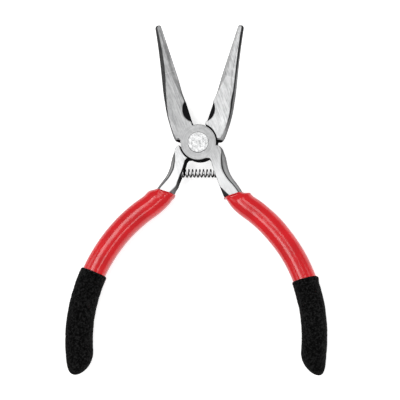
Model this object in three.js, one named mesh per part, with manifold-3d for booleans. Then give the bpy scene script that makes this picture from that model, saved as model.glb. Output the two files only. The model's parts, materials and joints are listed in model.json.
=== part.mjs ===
// Round nose pliers with side cutters, of the small kind used for beads and wire.
// Two identical forged halves are lapped on a flush rivet and held open by a coil spring.
// Each handle is dipped in vinyl, and its lower part carries a foam cover.
// Millimetres. +Z runs up along the pivot, +Y towards the jaw tips, and the origin lies on the
// pivot axis at the rear face of the joint.
import * as THREE from "three";
import { mergeVertices } from "three/addons/utils/BufferGeometryUtils.js";
import Module from "manifold-3d";

const wasm = await Module();
wasm.setup();

// ---------------------------------------------------------------- driving dimensions

const THICKNESS = 7.6; // joint, from rear face to front face
const HALF = THICKNESS / 2;
const HALF_OPEN = THREE.MathUtils.degToRad(18); // turn of each half away from closed

// Lap joint
const LAP_GAP = 0.12; // between the two lapped discs
const DISC_RADIUS = 6.1;
const RECESS_RADIUS = 6.4; // room that each half leaves for the other one's disc
const CUT_MARGIN = 0.8; // how far cutting tools reach past a face

// Rivet and its countersunk holes
const RIVET_RADIUS = 2.2;
const RIVET_HEAD_RADIUS = 3.35;
const HEAD_DEPTH = 1.3;
const HOLE_RADIUS = 2.25;
const COUNTERSINK_RADIUS = 3.45;

// Jaw: thickness is full up to the taper, then falls evenly to the tip
const JAW_TAPER_START = 10;
const JAW_TAPER = 0.0858; // loss of half thickness per millimetre
const JAW_SHOULDER = [
  [[-0.1, 0.52], [-6.9, 3.03]],
  [[-0.1, 2.0], [-7.45, 3.8]],
];
// Distance along the jaw, inner and outer edge from the closing line, inner and outer rounding
const JAW = [
  [5.3, 0.1, 7.62, 0.15, 0.5],
  [7.4, 0.1, 7.6, 0.15, 0.7],
  [9.7, 0.1, 7.65, 0.15, 0.9],
  [12.0, 0.1, 7.7, 0.15, 1.05],
  [14.2, 0.12, 7.55, 0.2, 1.15],
  [16.3, 0.3, 7.2, 0.3, 1.3],
  [18.4, 0.45, 6.8, 0.5, 1.5],
  [20.8, 0.35, 6.25, 0.9, 1.75],
  [24.5, 0.15, 5.47, 1.6, 2.1],
  [27.4, 0.05, 4.84, 2.25, 2.25],
  [33.0, 0.05, 3.74, 1.75, 1.75],
  [38.0, 0.05, 2.76, 1.28, 1.28],
];
const TIP = { start: 41.2, middle: 1.06, radius: 1.0, half: 1.12, steps: [0, 30, 55, 75] };

// Side cutter: a bevel from a straight edge near the middle plane to an arc on each face
const CUTTER = { middle: 11.0, arcRadius: 4.3, arcCentre: 2.3, edge: 0.1, land: 0.15, steps: 8 };

// Shank: height, inner and outer edge, half thickness, inner and outer rounding
const SHANK = [
  [-2.85, 1.0, 5.75, 3.8, 0.15, 0.15],
  [-3.4, 1.0, 6.45, 3.8, 0.15, 0.15],
  [-4.2, 1.0, 6.85, 3.8, 0.15, 0.2],
  [-5.2, 1.0, 6.95, 3.8, 0.15, 0.3],
  [-6.0, 1.0, 7.0, 3.8, 0.15, 0.5],
  [-6.3, 1.65, 7.02, 3.8, 0.15, 0.6],
  [-6.9, 2.0, 7.05, 3.8, 0.15, 0.8],
  [-8.6, 2.05, 6.95, 3.8, 0.15, 1.2],
  [-10.9, 2.05, 6.72, 3.8, 0.15, 1.45],
  [-12.8, 2.15, 6.8, 3.8, 0.15, 1.35],
  [-14.7, 2.25, 7.2, 3.72, 0.15, 1.4],
  [-16.4, 2.3, 7.82, 3.62, 0.2, 1.45],
  [-18.0, 2.35, 8.32, 3.5, 0.85, 1.3],
  [-19.6, 2.5, 8.75, 3.38, 1.6, 1.2],
];
// Bend of the tang into the grip: centre, rib angle in degrees, half width, half thickness
const TANG_BEND = [
  [[6.5, -21.1], 10, 2.75, 3.2],
  [[7.5, -22.9], 24, 2.4, 3.05],
];
const TANG = { halfWidth: 2.2, half: 2.9, endHalfWidth: 1.9, endHalf: 2.4, short: 5.6, cap: 3.0 };
const BACK_RISE = 0.92; // share of the half thickness taken by the outer rounding

// Grip: the centre line is an arc about a point, then a short curve to a rounded end
const GRIP_CENTRE = [-33.57, -57.6];
const GRIP_RADIUS = 53.6;
const GRIP_START = 38; // degrees
const GRIP_BEND_END = -22; // degrees
const GRIP_TIP = [14.75, -86.6];
const GRIP_TIP_CONTROL = [14.25, -81.8];
const GRIP_TIP_ANGLE = -18; // degrees
const RIB_SPACING = 4.6;
const CAP_STEPS = [0, 25, 45, 62, 76, 85]; // degrees round a rounded end

// Dipped covers
const FIT_GAP = 0.12; // tang to sleeve, and sleeve to foam
const SLEEVE = { halfWidth: 3.95, half: 4.2, underHalfWidth: 3.25, underHalf: 3.45 };
const SLEEVE_END = { short: 1.4, cap: 7.4 };
const SLEEVE_STEP = [1.0, 2.3]; // where the sleeve steps down under the foam
const SLEEVE_BEND = [
  [[6.35, -20.45], 6, 4.1, 4.0],
  [[7.4, -22.25], 17, 4.05, 4.15],
];
const SLEEVE_BEND_DRIFT = 0.25; // sideways shift of the first rib for a higher or lower mouth
const MOUTH_MIDDLE = -19.6;
const LIP = { inner: 0.3, outer: 0.35, rise: 0.32 };
const FOAM = { halfWidth: 4.5, half: 4.8, lipHalfWidth: 4.25, lipHalf: 4.52, lip: 0.5, cap: 8.8 };
const DIPPED_ROUNDING = 0.86; // share of a dipped section that its corners take
const LEFT_COVER = { mouth: -19.0, foamStart: 6.0 };
const RIGHT_COVER = { mouth: -20.3, foamStart: 3.2 };

// Return spring between the shanks, in blind holes
const SPRING = { y: -10.1, reach: 6.3, radius: 1.225, wire: 0.225, pitch: 1.19, closedPitch: 0.5 };
const SPRING_CLOSED = 0.7; // length of the closed coils at each end
const SPRING_HOLE = { y: -11.3, radius: 1.95, from: 0.5, to: 4.15 };

const SPRING_STEPS = 9; // per turn
const SPRING_SIDES = 6;
const ROUND_SEGMENTS = 48;
const CORNER_STEPS = 3;

// ---------------------------------------------------------------- solids and sections

function solidOf(geometry) {
  const bare = new THREE.BufferGeometry();
  bare.setAttribute("position", geometry.getAttribute("position"));
  bare.setIndex(geometry.getIndex());
  const merged = mergeVertices(bare, 1e-4);
  return new wasm.Manifold(
    new wasm.Mesh({
      numProp: 3,
      vertProperties: merged.getAttribute("position").array,
      triVerts: new Uint32Array(merged.getIndex().array),
    }),
  );
}

function geometryOf(solid) {
  const mesh = solid.getMesh();
  const geometry = new THREE.BufferGeometry();
  geometry.setAttribute("position", new THREE.BufferAttribute(mesh.vertProperties, 3));
  geometry.setIndex(new THREE.BufferAttribute(mesh.triVerts, 1));
  geometry.computeVertexNormals();
  return geometry;
}

// Joins rings of equally many points into one closed surface, with a fan over each end.
function loft(rings) {
  const count = rings[0].length;
  const positions = rings.flat(2);
  const indices = [];
  for (const ring of [rings[0], rings[rings.length - 1]]) {
    for (let axis = 0; axis < 3; axis++) {
      positions.push(ring.reduce((sum, point) => sum + point[axis], 0) / count);
    }
  }
  const startCentre = rings.length * count;
  const lastRing = startCentre - count;
  for (let j = 0; j < count; j++) {
    const next = (j + 1) % count;
    for (let base = 0; base < lastRing; base += count) {
      indices.push(base + j, base + next, base + count + next);
      indices.push(base + j, base + count + next, base + count + j);
    }
    indices.push(startCentre, next, j);
    indices.push(startCentre + 1, lastRing + j, lastRing + next);
  }
  const geometry = new THREE.BufferGeometry();
  geometry.setAttribute("position", new THREE.Float32BufferAttribute(positions, 3));
  geometry.setIndex(indices);
  return solidOf(geometry);
}

// A station is one cross-section: its inner and outer edge in plan, its half thickness, and the
// size of its corner roundings, along the section and along Z.
function forged(inner, outer, half, innerRound, outerRound) {
  const width = Math.hypot(outer[0] - inner[0], outer[1] - inner[1]);
  return {
    inner,
    outer,
    half,
    innerCorner: [innerRound, (2 * half * innerRound) / width],
    outerCorner: [outerRound, BACK_RISE * half],
  };
}

function ribEnds([x, y], degrees, halfWidth) {
  const angle = THREE.MathUtils.degToRad(degrees);
  const dx = halfWidth * Math.cos(angle);
  const dy = halfWidth * Math.sin(angle);
  return [[x - dx, y - dy], [x + dx, y + dy]];
}

function dipped(centre, degrees, halfWidth, half) {
  const [inner, outer] = ribEnds(centre, degrees, halfWidth);
  const corner = [DIPPED_ROUNDING * halfWidth, DIPPED_ROUNDING * half];
  return { inner, outer, half, innerCorner: corner, outerCorner: corner };
}

function widened(station, gap) {
  const { inner, outer, half } = station;
  const width = Math.hypot(outer[0] - inner[0], outer[1] - inner[1]);
  const dx = (gap * (outer[0] - inner[0])) / width;
  const dy = (gap * (outer[1] - inner[1])) / width;
  return {
    ...station,
    inner: [inner[0] - dx, inner[1] - dy],
    outer: [outer[0] + dx, outer[1] + dy],
    half: half + gap,
  };
}

// The outline of a station: four corners, each a quarter of an ellipse.
function sectionRing({ inner, outer, half, innerCorner, outerCorner }) {
  const width = Math.hypot(outer[0] - inner[0], outer[1] - inner[1]);
  const corners = [
    [width - outerCorner[0], outerCorner[1] - half, outerCorner],
    [width - outerCorner[0], half - outerCorner[1], outerCorner],
    [innerCorner[0], half - innerCorner[1], innerCorner],
    [innerCorner[0], innerCorner[1] - half, innerCorner],
  ];
  return corners.flatMap(([along, up, [roundAlong, roundUp]], corner) =>
    Array.from({ length: CORNER_STEPS + 1 }, (_, i) => {
      const angle = ((corner - 1 + i / CORNER_STEPS) * Math.PI) / 2;
      const share = (along + roundAlong * Math.cos(angle)) / width;
      const x = inner[0] + share * (outer[0] - inner[0]);
      const y = inner[1] + share * (outer[1] - inner[1]);
      return [x, y, up + roundUp * Math.sin(angle)];
    }),
  );
}

const loftStations = (stations) => loft(stations.map(sectionRing));

function uprightCylinder(radius, bottom, top) {
  const cylinder = new THREE.CylinderGeometry(radius, radius, top - bottom, ROUND_SEGMENTS);
  return solidOf(cylinder.rotateX(Math.PI / 2).translate(0, 0, (top + bottom) / 2));
}

function turned(profile) {
  const points = profile.map(([radius, height]) => new THREE.Vector2(radius, height));
  return solidOf(new THREE.LatheGeometry(points, ROUND_SEGMENTS).rotateX(Math.PI / 2));
}

// ---------------------------------------------------------------- forged half
// Built in the closed pose, with the jaw on -X, the handle on +X and the middle plane at z = 0.

function jawSolid() {
  const shoulder = JAW_SHOULDER.map(([inner, outer]) => forged(inner, outer, HALF, 0.15, 0.3));
  const body = JAW.map(([y, inner, outer, innerRound, outerRound]) => {
    const half = HALF - JAW_TAPER * Math.max(0, y - JAW_TAPER_START);
    return forged([-inner, y], [-outer, y], half, innerRound, outerRound);
  });
  const tip = TIP.steps.map((degrees) => {
    const angle = THREE.MathUtils.degToRad(degrees);
    const reach = TIP.radius * Math.cos(angle);
    const y = TIP.start + TIP.radius * Math.sin(angle);
    const ends = [[reach - TIP.middle, y], [-reach - TIP.middle, y]];
    return forged(...ends, TIP.half * Math.cos(angle), 0.94 * reach, 0.94 * reach);
  });
  return loftStations([...shoulder, ...body, ...tip]);
}

// The space that the side cutter's bevel takes away above the middle plane, or below it.
function cutterSolid(side) {
  const reach = Math.sqrt(CUTTER.arcRadius ** 2 - CUTTER.arcCentre ** 2);
  const top = HALF + CUT_MARGIN;
  const rings = [];
  for (let i = 0; i <= CUTTER.steps; i++) {
    const along = reach * (1 - (2 * i) / CUTTER.steps);
    const onFace = Math.sqrt(CUTTER.arcRadius ** 2 - along ** 2) - CUTTER.arcCentre;
    const slope = (onFace - CUTTER.edge) / (HALF - CUTTER.land);
    const deepest = CUTTER.edge + slope * (top - CUTTER.land);
    const section = [
      [-CUTTER.edge, CUTTER.land],
      [CUTTER.arcCentre, CUTTER.land],
      [CUTTER.arcCentre, top],
      [-deepest, top],
    ];
    const ring = section.map(([x, z]) => [x, CUTTER.middle + along, side * z]);
    rings.push(side > 0 ? ring : ring.reverse());
  }
  return loft(rings);
}

// The centre line of the grip at a distance from its upper end.
const GRIP_ARC = GRIP_RADIUS * THREE.MathUtils.degToRad(GRIP_START - GRIP_BEND_END);
const gripEnd = new THREE.QuadraticBezierCurve(
  new THREE.Vector2(...arcPoint(GRIP_BEND_END)),
  new THREE.Vector2(...GRIP_TIP_CONTROL),
  new THREE.Vector2(...GRIP_TIP),
);
const GRIP_LENGTH = GRIP_ARC + gripEnd.getLength();

function arcPoint(degrees) {
  const angle = THREE.MathUtils.degToRad(degrees);
  const x = GRIP_CENTRE[0] + GRIP_RADIUS * Math.cos(angle);
  return [x, GRIP_CENTRE[1] + GRIP_RADIUS * Math.sin(angle)];
}

function gripAt(distance) {
  if (distance <= GRIP_ARC) {
    const degrees = GRIP_START - THREE.MathUtils.radToDeg(distance / GRIP_RADIUS);
    return [arcPoint(degrees), degrees];
  }
  const share = (distance - GRIP_ARC) / (GRIP_LENGTH - GRIP_ARC);
  const point = gripEnd.getPointAt(Math.min(1, share));
  return [point.toArray(), THREE.MathUtils.lerp(GRIP_BEND_END, GRIP_TIP_ANGLE, share)];
}

const gripDistance = (degrees) =>
  GRIP_RADIUS * THREE.MathUtils.degToRad(GRIP_START - degrees);

// Stations down the grip from one distance to the rounded end at another.
function gripStations(start, end, cap, sizeAt) {
  const distances = [];
  const count = Math.ceil((end - cap - start) / RIB_SPACING);
  for (let i = 0; i < count; i++) {
    distances.push([start + ((end - cap - start) * i) / count, 1]);
  }
  for (const degrees of CAP_STEPS) {
    const angle = THREE.MathUtils.degToRad(degrees);
    distances.push([end - cap + cap * Math.sin(angle), Math.cos(angle)]);
  }
  return distances.map(([distance, shrink]) => {
    const [halfWidth, half] = sizeAt(distance);
    return dipped(...gripAt(distance), halfWidth * shrink, half * shrink);
  });
}

function tangStations() {
  const shank = SHANK.map(([y, inner, outer, half, innerRound, outerRound]) =>
    forged([inner, y], [outer, y], half, innerRound, outerRound),
  );
  const bend = TANG_BEND.map((row) => dipped(...row));
  const end = GRIP_LENGTH - TANG.short;
  const grip = gripStations(0, end, TANG.cap, (distance) => {
    const share = distance / end;
    return [
      THREE.MathUtils.lerp(TANG.halfWidth, TANG.endHalfWidth, share),
      THREE.MathUtils.lerp(TANG.half, TANG.endHalf, share),
    ];
  });
  return { shank, hidden: [...bend, ...grip] };
}

function forgedHalf() {
  const { shank, hidden } = tangStations();
  const hole = turned([
    [0, -CUT_MARGIN],
    [HOLE_RADIUS, -CUT_MARGIN],
    [HOLE_RADIUS, HALF - HEAD_DEPTH],
    [COUNTERSINK_RADIUS, HALF],
    [COUNTERSINK_RADIUS, HALF + CUT_MARGIN],
    [0, HALF + CUT_MARGIN],
  ]);
  const holeLength = SPRING_HOLE.to - SPRING_HOLE.from;
  const springHole = new THREE.CylinderGeometry(
    SPRING_HOLE.radius,
    SPRING_HOLE.radius,
    holeLength,
    ROUND_SEGMENTS / 2,
  );
  springHole.rotateZ(Math.PI / 2).translate(SPRING_HOLE.from + holeLength / 2, SPRING_HOLE.y, 0);
  const half = jawSolid()
    .add(loftStations([...shank, ...hidden]))
    .subtract(uprightCylinder(RECESS_RADIUS, -HALF - CUT_MARGIN, LAP_GAP / 2))
    .add(uprightCylinder(DISC_RADIUS, LAP_GAP / 2, HALF))
    .subtract(hole)
    .subtract(cutterSolid(1))
    .subtract(cutterSolid(-1))
    .subtract(solidOf(springHole));
  return geometryOf(half);
}

// ---------------------------------------------------------------- covers, rivet and spring

function sleeve({ mouth, foamStart }) {
  const { shank, hidden } = tangStations();
  const rise = mouth - MOUTH_MIDDLE;
  const [above, below] = shank.slice(-2);
  const share = (mouth - above.inner[1]) / (below.inner[1] - above.inner[1]);
  const mouthEdge = (side) => THREE.MathUtils.lerp(above[side][0], below[side][0], share);
  const mouthHalf = THREE.MathUtils.lerp(above.half, below.half, share) + LIP.rise;
  const lip = {
    ...below,
    inner: [mouthEdge("inner") - LIP.inner, mouth],
    outer: [mouthEdge("outer") + LIP.outer, mouth],
    half: mouthHalf,
  };
  const [[[x, y], ...firstRib], second] = SLEEVE_BEND;
  const first = dipped([x - SLEEVE_BEND_DRIFT * rise, y + rise], ...firstRib);
  const foamDistance = gripDistance(foamStart);
  const sizeAt = sleeveSize(foamDistance);
  const end = GRIP_LENGTH - SLEEVE_END.short;
  const [stepStart, stepEnd] = SLEEVE_STEP.map((offset) => foamDistance + offset);
  const outside = loftStations([
    lip,
    first,
    dipped(...second),
    ...ribs(0, stepStart, sizeAt),
    ...gripStations(stepEnd, end, SLEEVE_END.cap, sizeAt),
  ]);
  const bore = loftStations([...shank.slice(-3), ...hidden].map((s) => widened(s, FIT_GAP)));
  return geometryOf(outside.subtract(bore));
}

// Evenly spaced stations along the grip, with one at each end.
function ribs(start, end, sizeAt) {
  const count = Math.ceil((end - start) / RIB_SPACING);
  return Array.from({ length: count + 1 }, (_, i) => {
    const distance = start + ((end - start) * i) / count;
    return dipped(...gripAt(distance), ...sizeAt(distance));
  });
}

// Half width and half thickness of the sleeve, which is thinner under the foam.
function sleeveSize(foamDistance) {
  const [stepStart, stepEnd] = SLEEVE_STEP.map((offset) => foamDistance + offset);
  return (distance) => {
    const share = THREE.MathUtils.clamp((distance - stepStart) / (stepEnd - stepStart), 0, 1);
    return [
      THREE.MathUtils.lerp(SLEEVE.halfWidth, SLEEVE.underHalfWidth, share),
      THREE.MathUtils.lerp(SLEEVE.half, SLEEVE.underHalf, share),
    ];
  };
}

function foam({ foamStart }) {
  const start = gripDistance(foamStart);
  const sizeAt = sleeveSize(start);
  const [stepStart, stepEnd] = SLEEVE_STEP.map((offset) => start + offset);
  const outside = loftStations([
    dipped(...gripAt(start), FOAM.lipHalfWidth, FOAM.lipHalf),
    ...gripStations(start + FOAM.lip, GRIP_LENGTH, FOAM.cap, () => [FOAM.halfWidth, FOAM.half]),
  ]);
  const boreEnd = GRIP_LENGTH - SLEEVE_END.short + FIT_GAP;
  const bore = loftStations(
    [
      dipped(...gripAt(start - 1), ...sizeAt(start)),
      dipped(...gripAt(stepStart), ...sizeAt(stepStart)),
      ...gripStations(stepEnd, boreEnd, SLEEVE_END.cap, sizeAt),
    ].map((s) => widened(s, FIT_GAP)),
  );
  return geometryOf(outside.subtract(bore));
}

function rivet() {
  return geometryOf(
    turned([
      [0, -HALF],
      [RIVET_HEAD_RADIUS, -HALF],
      [RIVET_RADIUS, HEAD_DEPTH - HALF],
      [RIVET_RADIUS, HALF - HEAD_DEPTH],
      [RIVET_HEAD_RADIUS, HALF],
      [0, HALF],
    ]),
  );
}

// The centre line of the spring wire: open coils with closed ones at both ends.
class SpringPath extends THREE.Curve {
  constructor() {
    super();
    this.closedTurns = SPRING_CLOSED / SPRING.closedPitch;
    this.openTurns = (2 * (SPRING.reach - SPRING.wire - SPRING_CLOSED)) / SPRING.pitch;
    this.turns = this.openTurns + 2 * this.closedTurns;
  }

  getPoint(t) {
    const turn = t * this.turns;
    const openTurn = THREE.MathUtils.clamp(turn - this.closedTurns, 0, this.openTurns);
    const closedTurn = turn - openTurn;
    const advance = openTurn * SPRING.pitch + closedTurn * SPRING.closedPitch;
    const angle = turn * 2 * Math.PI;
    const y = SPRING.y + SPRING.radius * Math.cos(angle);
    return new THREE.Vector3(
      advance + SPRING.wire - SPRING.reach,
      y,
      SPRING.radius * Math.sin(angle),
    );
  }
}

function spring() {
  const path = new SpringPath();
  const section = new THREE.Shape().absarc(0, 0, SPRING.wire, 0, 2 * Math.PI);
  return new THREE.ExtrudeGeometry(section, {
    extrudePath: path,
    steps: Math.round(path.turns * SPRING_STEPS),
    curveSegments: SPRING_SIDES / 2,
  });
}

// ---------------------------------------------------------------- assembly

const forgedSteel = { color: 0xb9bbbd, roughness: 0.38, metalness: 0.9 };
const rivetSteel = { color: 0xe2e3e4, roughness: 0.3, metalness: 0.95 };
const springSteel = { color: 0x9a9b9d, roughness: 0.3, metalness: 0.95 };
const redVinyl = { color: 0xd62028, roughness: 0.22, metalness: 0 };
const blackFoam = { color: 0x141414, roughness: 0.95, metalness: 0 };

function mesh(name, geometry, finish) {
  const made = new THREE.Mesh(geometry, new THREE.MeshStandardMaterial(finish));
  made.name = name;
  return made;
}

// Everything above lies about the middle plane, which the assembly lifts to its height.
const group = new THREE.Group();
group.position.z = HALF;

// The front half carries the left jaw and the right handle.
const frontHalf = new THREE.Group();
frontHalf.rotation.z = HALF_OPEN;
frontHalf.add(
  mesh("front_plier_half", forgedHalf(), forgedSteel),
  mesh("right_handle_sleeve", sleeve(RIGHT_COVER), redVinyl),
  mesh("right_foam_grip", foam(RIGHT_COVER), blackFoam),
);

// The rear half is the same forging turned over, so it carries the right jaw and the left handle.
const rearHalf = new THREE.Group();
rearHalf.rotation.set(0, Math.PI, -HALF_OPEN, "ZYX");
rearHalf.add(
  mesh("rear_plier_half", forgedHalf(), forgedSteel),
  mesh("left_handle_sleeve", sleeve(LEFT_COVER), redVinyl),
  mesh("left_foam_grip", foam(LEFT_COVER), blackFoam),
);

group.add(
  rearHalf,
  frontHalf,
  mesh("pivot_rivet", rivet(), rivetSteel),
  mesh("return_spring", spring(), springSteel),
);

export default group;
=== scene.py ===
"""Looks of a pair of round nose pliers: two ground steel halves on a peened rivet, a coil spring,
dipped vinyl handles and foam covers. Shapes are worked out in millimetres, about the closed tool's
middle plane, with the jaw of a half on -X and its handle on +X. add_piece turns them into metres.
"""

import json
import math

import bpy
import numpy as np
from mathutils import Matrix, Vector


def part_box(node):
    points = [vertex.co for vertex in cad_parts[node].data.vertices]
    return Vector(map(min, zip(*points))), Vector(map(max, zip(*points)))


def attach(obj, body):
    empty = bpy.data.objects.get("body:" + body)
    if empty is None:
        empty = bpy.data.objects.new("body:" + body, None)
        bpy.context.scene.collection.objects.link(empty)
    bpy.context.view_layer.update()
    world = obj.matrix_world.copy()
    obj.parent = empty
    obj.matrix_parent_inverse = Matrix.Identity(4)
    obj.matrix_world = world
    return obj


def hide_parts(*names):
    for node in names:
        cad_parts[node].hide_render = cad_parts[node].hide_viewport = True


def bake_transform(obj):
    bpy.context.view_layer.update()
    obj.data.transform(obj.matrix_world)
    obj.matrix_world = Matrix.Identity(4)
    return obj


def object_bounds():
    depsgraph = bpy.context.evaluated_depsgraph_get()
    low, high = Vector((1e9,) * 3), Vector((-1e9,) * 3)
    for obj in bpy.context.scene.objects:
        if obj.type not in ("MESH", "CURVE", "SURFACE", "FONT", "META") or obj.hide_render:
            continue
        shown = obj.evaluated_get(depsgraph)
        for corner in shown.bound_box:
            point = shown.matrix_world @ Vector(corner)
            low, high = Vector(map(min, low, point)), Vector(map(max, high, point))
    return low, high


MM = 0.001
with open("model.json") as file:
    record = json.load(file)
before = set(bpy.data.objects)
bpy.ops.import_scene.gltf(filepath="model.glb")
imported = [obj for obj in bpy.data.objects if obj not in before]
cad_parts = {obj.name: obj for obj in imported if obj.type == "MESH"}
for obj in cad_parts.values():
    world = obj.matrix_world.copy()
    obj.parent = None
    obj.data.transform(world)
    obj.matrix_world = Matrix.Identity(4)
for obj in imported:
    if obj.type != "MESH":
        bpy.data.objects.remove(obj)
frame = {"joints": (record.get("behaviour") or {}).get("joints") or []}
CAD_BOX = [list(corner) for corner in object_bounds()]
RIVET_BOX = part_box("pivot_rivet")
HALF = (RIVET_BOX[1][2] - RIVET_BOX[0][2]) / MM / 2
HALF_OPEN = -math.radians(frame["joints"][0]["range_deg"][0]) / 2


# -------- camera

CAMERA_TILT = (6.4, 7.2)  # degrees away from straight above, towards +X and towards the handles
CAMERA_ROLL = -0.7  # degrees
CAMERA_DISTANCE = 1500.0
FIELD_WIDTH = 133.6  # what the picture spans at the front face of the joint
PIVOT_TO_CENTRE = (0.64, -19.4)  # from the pivot to the middle of the picture


def add_camera():
    tilt_x, tilt_y = (math.tan(math.radians(degrees)) for degrees in CAMERA_TILT)
    back = Vector((tilt_x, -tilt_y, 1)).normalized()
    level = Vector((0, 1, 0)).cross(back).normalized()
    upright = back.cross(level)
    roll = math.radians(CAMERA_ROLL)
    right = level * math.cos(roll) - upright * math.sin(roll)
    up = level * math.sin(roll) + upright * math.cos(roll)
    aim = Vector((0, 0, 2 * HALF)) + right * PIVOT_TO_CENTRE[0] + up * PIVOT_TO_CENTRE[1]
    camera_data = bpy.data.cameras.new("camera")
    camera_data.lens = camera_data.sensor_width * CAMERA_DISTANCE / FIELD_WIDTH
    camera_data.clip_end = 10
    camera = bpy.data.objects.new("camera", camera_data)
    camera.matrix_world = Matrix((right, up, back)).transposed().to_4x4()
    camera.location = (aim + back * CAMERA_DISTANCE) * MM
    bpy.context.collection.objects.link(camera)
    bpy.context.scene.camera = camera


add_camera()


# -------- forged half: dimensions

EDGE_ROUND = 0.16
LAP_GAP = 0.12
DISC_RADIUS = 6.0
RECESS_RADIUS = 6.4
DISC_FILLET = 0.3
HOLE_RADIUS = 2.25
COUNTERSINK = {"depth": 1.3, "radius": 3.55}

JAW_TAPER_START = 10.0
JAW_TAPER = 0.0858
JAW_TAPER_BLEND = 5.0
# distance along the jaw, inner edge, outer edge, bulge of the inner side, bulge of the back
JAW = np.array([
    [2.4, 0.1, 6.9, 0.12, 0.8],
    [3.1, 0.1, 7.25, 0.12, 0.8],
    [3.8, 0.1, 7.48, 0.12, 0.75],
    [5.3, 0.1, 7.62, 0.12, 0.6],
    [7.4, 0.1, 7.63, 0.12, 0.5],
    [9.7, 0.1, 7.6, 0.12, 0.5],
    [12.0, 0.1, 7.5, 0.12, 0.6],
    [14.2, 0.12, 7.28, 0.16, 0.8],
    [16.3, 0.28, 6.96, 0.3, 1.0],
    [18.4, 0.32, 6.65, 0.5, 1.2],
    [20.8, 0.2, 6.2, 0.9, 1.35],
    [24.5, 0.05, 5.42, 1.6, 1.75],
    [27.4, 0.02, 4.8, 2.2, 2.2],
    [33.0, 0.02, 3.68, 1.8, 1.8],
    [38.0, 0.02, 2.78, 1.36, 1.36],
    [42.8, 0.02, 2.02, 1.0, 1.0],
])
JAW_END = 42.5
JAW_END_ROUND = 0.9
NOSE_LEAN = {"start": 13.0, "tip": 0.4}
# The flat end of the jaw beside the disc. oxide is how far black oxide runs up the face from it.
SHOULDER = {"at": (-5.68, 2.58), "normal": (0.346, 0.938), "round": 0.12, "oxide": 0.68}
# The side cutter's bevels run from a round bite in each face, about a point beyond the inner edge,
# to a cutting edge at mid height. land is the flat beside it, and reach is just past the bite.
CUTTER = {"middle": 11.0, "radius": 4.35, "centre": 2.16, "edge": 0.1, "land": 0.15, "reach": 3.9}
CUTTER_ROUND = 0.08

# height, inner edge, outer edge, half thickness, bulge of the inner side, bulge of the back
SHANK = np.array([
    [-21.5, 2.9, 9.1, 3.2, 2.3, 1.2],
    [-19.6, 2.5, 8.75, 3.38, 1.6, 1.25],
    [-18.0, 2.35, 8.32, 3.5, 0.9, 1.35],
    [-16.6, 2.3, 7.86, 3.62, 0.2, 1.5],
    [-14.7, 2.25, 7.2, 3.72, 0.12, 1.65],
    [-12.8, 2.15, 6.8, 3.8, 0.12, 1.75],
    [-10.9, 2.05, 6.72, 3.8, 0.12, 1.85],
    [-8.6, 2.05, 6.95, 3.8, 0.12, 1.65],
    [-6.9, 2.0, 7.05, 3.8, 0.12, 1.2],
    [-6.3, 1.65, 7.02, 3.8, 0.12, 0.9],
    [-6.0, 1.0, 7.0, 3.8, 0.12, 0.7],
    [-5.2, 1.0, 6.95, 3.8, 0.12, 0.4],
    [-4.2, 1.0, 6.85, 3.8, 0.12, 0.25],
    [-3.4, 1.0, 6.45, 3.8, 0.12, 0.2],
    [-2.85, 1.0, 5.75, 3.8, 0.12, 0.2],
])
SHANK_TOP = {"y": -2.85, "round": 0.25}
SHANK_FOOT = {"y": -20.6, "round": 0.5}
SHANK_EDGE_SHADE = 0.14  # width of the painted shade line along the inner edge on the face
SPRING_HOLE = {"y": -11.3, "radius": 1.95, "from": 0.5, "to": 4.15}

# The handle's centre line: an arc about a point, then a short curve to a rounded end
GRIP_CENTRE = np.array([-33.57, -57.6])
GRIP_RADIUS = 53.6
GRIP_START = math.radians(38)
GRIP_BEND_END = math.radians(-22)
GRIP_TIP = np.array([14.75, -86.6])
GRIP_TIP_CONTROL = np.array([14.25, -81.8])
GRIP_TIP_ANGLE = math.radians(-18)
# angle along the arc, distance of the tang's middle from it, half width, half thickness
TANG = np.array([[-24, 0.0, 1.7, 2.3], [0, 0.0, 1.85, 2.55], [38, 0.0, 2.1, 2.9], [47, 1.1, 2.2, 3.0]])
TANG_ROUND = 1.2


# -------- fields

def follow(at, stations, column):
    """A smooth curve through one column of a table of stations, level past its ends."""
    knots, values = stations[:, 0], stations[:, column]
    slopes = np.gradient(values, knots)
    at = np.clip(at, knots[0], knots[-1])
    i = np.clip(np.searchsorted(knots, at) - 1, 0, len(knots) - 2)
    width = knots[i + 1] - knots[i]
    t = (at - knots[i]) / width
    start = values[i] * (1 + 2 * t) * (1 - t) ** 2 + slopes[i] * width * t * (1 - t) ** 2
    end = values[i + 1] * (3 - 2 * t) * t**2 - slopes[i + 1] * width * (1 - t) * t**2
    return start + end


def meet(a, b, radius):
    """Where two fields overlap, with the edge between them rounded."""
    corner = np.hypot(np.maximum(a + radius, 0), np.maximum(b + radius, 0))
    return np.minimum(-radius, np.maximum(a, b)) + corner


def join(a, b, radius):
    """Two fields together, with a fillet between them."""
    corner = np.hypot(np.maximum(radius - a, 0), np.maximum(radius - b, 0))
    return np.maximum(radius, np.minimum(a, b)) - corner


def bulging(beyond, bulge, y, z):
    """A side that bulges over the thickness. beyond is the distance past its edge at mid height."""
    radius = (half_thickness(y) ** 2 + bulge**2) / (2 * bulge)
    return np.hypot(np.maximum(0, beyond + radius), z) - radius


def half_thickness(y):
    along = y - JAW_TAPER_START
    taper = JAW_TAPER * (along + np.hypot(along, JAW_TAPER_BLEND)) / 2
    return np.where(y > 0, HALF - taper, follow(y, SHANK, 3))


def cutter_bevel(x, y, z):
    """Positive in the space that the side cutter's bevels take away."""
    reach = np.sqrt(np.maximum(0, CUTTER["radius"] ** 2 - (y - CUTTER["middle"]) ** 2))
    on_face = np.maximum(0, reach - CUTTER["centre"] - CUTTER["edge"])
    slope = on_face / (HALF - CUTTER["land"])
    depth = CUTTER["edge"] + slope * np.maximum(0, np.abs(z) - CUTTER["land"])
    return (depth + x) / np.hypot(1, slope)


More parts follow.
